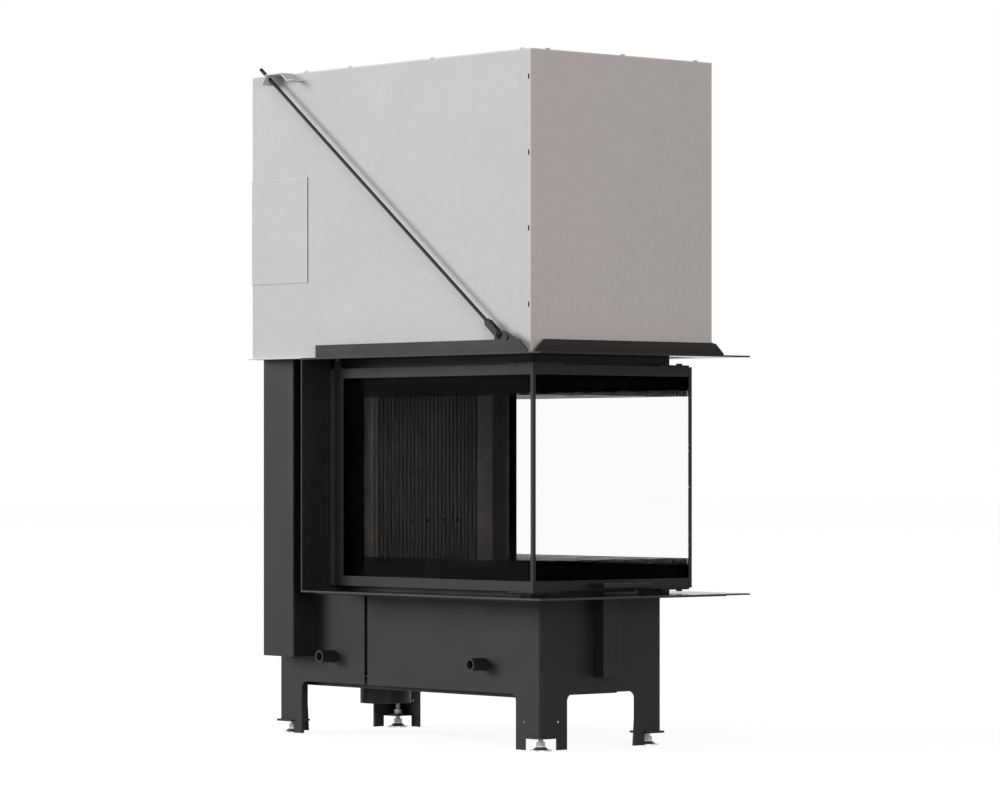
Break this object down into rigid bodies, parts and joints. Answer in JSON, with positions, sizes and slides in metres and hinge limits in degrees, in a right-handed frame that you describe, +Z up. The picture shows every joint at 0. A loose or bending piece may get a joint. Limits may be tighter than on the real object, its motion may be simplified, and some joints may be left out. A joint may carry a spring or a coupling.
{
  "type": "wood-burning fireplace insert",
  "caption": "Three-sided wood-burning fireplace insert: glass door lifts on counterweights into a grey sheet casing, black collar plates, pedestal with levelling feet.",
  "frame": {"origin": "centre of the footprint's bounding box, on the floor", "axes": "+Z up, -Y out of the front with the handle, +X to the right seen from the front"},
  "size_m": [0.658, 1.126, 1.625],
  "materials": {
    "casing_sheet": "matt light grey",
    "black_steel": "matt black heat-proof paint",
    "zinc_steel": "bright zinc",
    "bare_steel": "mill finish",
    "bronze": "turned",
    "cast_iron": "as cast",
    "lining": "dark vermiculite board",
    "glass": "clear ceramic glass"
  },
  "bodies": {
    "frame": {"air_control_housing": "black_steel", "air_inlet_spigot": "black_steel", "back_lining_ribbed": "lining", "back_lining_strips": "lining", "baffle": "lining", "base_front_shell": "black_steel", "base_rear_shell": "black_steel", "base_tray": "black_steel", "carrying_tubes": "black_steel", "casing_floor": "casing_sheet", "casing_front_panel": "casing_sheet", "casing_left_panel": "casing_sheet", "casing_rear_panel": "casing_sheet", "casing_right_panel": "casing_sheet", "casing_top_panel": "casing_sheet", "counterweight_cables": "bare_steel", "counterweight_ducts": "black_steel", "door_cables": "bare_steel", "fire_grate": "cast_iron", "firebox_back_wall": "black_steel", "flue_pipe": "black_steel", "foot_nuts": "zinc_steel", "foot_plates": "black_steel", "guide_rails": "bare_steel", "hatch_covers": "casing_sheet", "hearth_slab": "lining", "hearth_tray": "black_steel", "hood_rim": "black_steel", "lift_side_plates": "black_steel", "lining_cheeks": "lining", "lower_collar_plate": "black_steel", "pulley_cables": "bare_steel", "rear_collars": "black_steel", "rear_shield": "black_steel", "shaft_bearings": "bronze", "smoke_hood": "black_steel", "tie_rod_brackets": "casing_sheet", "tie_rod_clevises": "black_steel", "tie_rod_fasteners": "zinc_steel", "tie_rods": "black_steel", "upper_collar_plate": "black_steel", "upper_stiffeners": "black_steel"},
    "door": {"door_front_frame": "black_steel", "door_side_frames": "black_steel", "front_glass": "glass", "side_glass": "glass", "door_corner_plates": "black_steel", "door_bolts": "zinc_steel", "door_handle": "black_steel", "lift_uprights": "black_steel", "guide_shoes": "bronze"},
    "counterweights": {"counterweights": "bare_steel"},
    "lift_shaft": {"lift_shaft": "bare_steel", "pulleys": "bare_steel"},
    "air_control": {"air_lever": "black_steel", "air_damper": "black_steel"},
    "foot_front_left": {"levelling_foot_front_left": "zinc_steel"},
    "foot_front_right": {"levelling_foot_front_right": "zinc_steel"},
    "foot_rear_left": {"levelling_foot_rear_left": "zinc_steel"},
    "foot_rear_right": {"levelling_foot_rear_right": "zinc_steel"}
  },
  "joints": [
    {"name": "door_lift", "type": "slide", "parent": "frame", "child": "door", "axis": [0, 0, 1], "range_m": [0, 0.5], "deforming": ["door_cables"]},
    {"name": "counterweight_slide", "type": "slide", "parent": "frame", "child": "counterweights", "axis": [0, 0, 1], "range_m": [-0.5, 0], "deforming": ["counterweight_cables"]},
    {"name": "lift_shaft_spin", "type": "hinge", "parent": "frame", "child": "lift_shaft", "pos_m": [0, 0.38325, 1.49], "axis": [1, 0, 0], "range_deg": [-277.6, 0]},
    {"name": "air_lever_turn", "type": "hinge", "parent": "frame", "child": "air_control", "pos_m": [0, -0.423, 0.36], "axis": [0, 0, 1], "range_deg": [-107, 0]},
    {"name": "foot_front_left_screw", "type": "slide", "parent": "frame", "child": "foot_front_left", "axis": [0, 0, -1], "range_m": [0, 0.025]},
    {"name": "foot_front_right_screw", "type": "slide", "parent": "frame", "child": "foot_front_right", "axis": [0, 0, -1], "range_m": [0, 0.025]},
    {"name": "foot_rear_left_screw", "type": "slide", "parent": "frame", "child": "foot_rear_left", "axis": [0, 0, -1], "range_m": [0, 0.025]},
    {"name": "foot_rear_right_screw", "type": "slide", "parent": "frame", "child": "foot_rear_right", "axis": [0, 0, -1], "range_m": [0, 0.025]}
  ],
  "couplings": [
    {"joint": "counterweight_slide", "follows": "door_lift", "ratio": -1},
    {"joint": "lift_shaft_spin", "follows": "door_lift", "rad_per_m": -9.6852}
  ]
}
